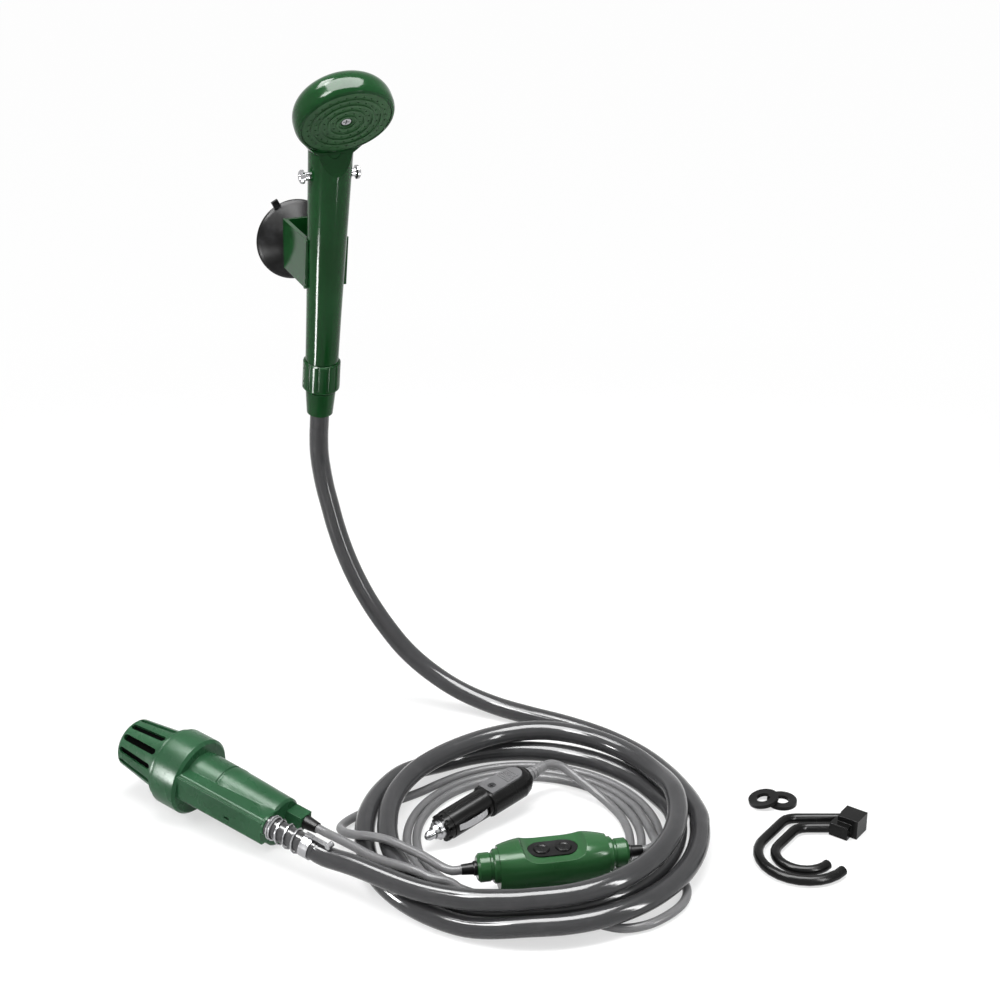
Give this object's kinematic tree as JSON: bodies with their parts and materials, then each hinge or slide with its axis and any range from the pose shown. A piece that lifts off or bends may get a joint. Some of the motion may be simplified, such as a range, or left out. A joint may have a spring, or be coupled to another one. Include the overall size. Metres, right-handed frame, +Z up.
{
  "type": "camp shower pump set",
  "caption": "Submersible camp shower: pump with slotted strainer, coiled hose to a handset in a suction-cup holder, and a lead with a push-button switch and a vehicle socket plug.",
  "frame": {"origin": "bottom centre of the box round the handset, holder, pump, hook and washers, on the floor", "axes": "+Z up, +Y towards the wall that the suction cup holds on to, -Y the way the spray head faces"},
  "size_m": [0.4551, 0.4302, 0.4916],
  "materials": {
    "gloss_green": "glossy dark green",
    "satin_green": "satin mid green",
    "soft_black": "soft black",
    "black_plastic": "satin black",
    "chrome": "bright plated",
    "steel": "plain steel",
    "hose": "glossy dark grey",
    "cable": "satin light grey",
    "gauze": "fine black gauze",
    "grey_plastic": "satin grey",
    "board": "coated board"
  },
  "bodies": {
    "base": {"bracket_clip": "gloss_green", "suction_cup": "soft_black", "pump_casing": "satin_green", "chamber_plate": "satin_green", "shaft_seal": "soft_black", "motor_can": "steel", "outlet_barb": "satin_green", "cable_gland": "satin_green", "gland_sheath": "soft_black", "hose_tail": "hose", "hose_spring": "chrome", "hose_clamp": "chrome", "hose_lead": "hose", "hose_coil": "hose", "hose_riser": "hose", "pump_cable": "cable", "plug_cable_lead": "cable", "plug_cable_coil": "cable", "plug_cable_tail": "cable", "switch_upper_shell": "satin_green", "switch_lower_shell": "satin_green", "switch_pad": "soft_black", "tact_switches": "black_plastic", "switch_board": "board", "switch_screws": "chrome", "switch_strain_reliefs": "soft_black", "plug_body": "black_plastic", "plug_panel": "grey_plastic", "plug_screw": "chrome", "plug_nose_ring": "black_plastic", "plug_nose_cap": "chrome", "tip_spring": "steel", "plug_fuse": "steel", "plug_strain_relief": "cable", "hanging_hook": "black_plastic", "spare_washers": "soft_black"},
    "handset": {"handle": "gloss_green", "head_shell": "gloss_green", "spray_plate": "gloss_green", "plate_seal": "soft_black", "spray_screw": "chrome", "hanging_studs": "chrome", "sealing_washer": "soft_black", "hose_ferrule": "gloss_green", "hose_top_stub": "hose"},
    "union_nut": {"hose_nut": "gloss_green"},
    "strainer": {"strainer_basket": "satin_green", "strainer_screen": "gauze"},
    "rotor": {"motor_shaft": "steel", "impeller": "black_plastic"},
    "on_button": {"button_on": "black_plastic"},
    "off_button": {"button_off": "black_plastic"},
    "tip": {"plug_tip": "chrome"},
    "left_contact": {"contact_left": "chrome"},
    "right_contact": {"contact_right": "chrome"}
  },
  "joints": [
    {"name": "handset_lift", "type": "slide", "parent": "base", "child": "handset", "axis": [0.0207, -0.1564, 0.9875], "range_m": [0, 0.045], "deforming": ["hose_riser"]},
    {"name": "nut_turn", "type": "hinge", "parent": "handset", "child": "union_nut", "pos_m": [-0.03861, 0.16416, 0.26588], "axis": [0.0207, -0.1564, 0.9875], "continuous": true},
    {"name": "strainer_twist", "type": "hinge", "parent": "base", "child": "strainer", "pos_m": [-0.19289, 0.06347, 0.03025], "axis": [0.5106, -0.8498, -0.1305], "range_deg": [0, 45]},
    {"name": "impeller_spin", "type": "hinge", "parent": "base", "child": "rotor", "pos_m": [-0.19289, 0.06347, 0.03025], "axis": [0.5106, -0.8498, -0.1305], "continuous": true},
    {"name": "button_on_press", "type": "slide", "parent": "base", "child": "on_button", "axis": [0, 0, -1], "range_m": [0, 0.0012], "stiffness_N_per_m": 400},
    {"name": "button_off_press", "type": "slide", "parent": "base", "child": "off_button", "axis": [0, 0, -1], "range_m": [0, 0.0012], "stiffness_N_per_m": 400},
    {"name": "plug_tip_press", "type": "slide", "parent": "base", "child": "tip", "axis": [0.9511, 0.2908, 0.1045], "range_m": [0, 0.003], "stiffness_N_per_m": 800},
    {"name": "contact_left_flex", "type": "hinge", "parent": "base", "child": "left_contact", "pos_m": [-0.03841, -0.05255, 0.01314], "axis": [0.1, 0.0306, -0.9945], "range_deg": [0, 4], "stiffness_Nm_per_rad": 0.4},
    {"name": "contact_right_flex", "type": "hinge", "parent": "base", "child": "right_contact", "pos_m": [-0.03411, -0.06661, 0.01314], "axis": [-0.1, -0.0306, 0.9945], "range_deg": [0, 4], "stiffness_Nm_per_rad": 0.4}
  ]
}
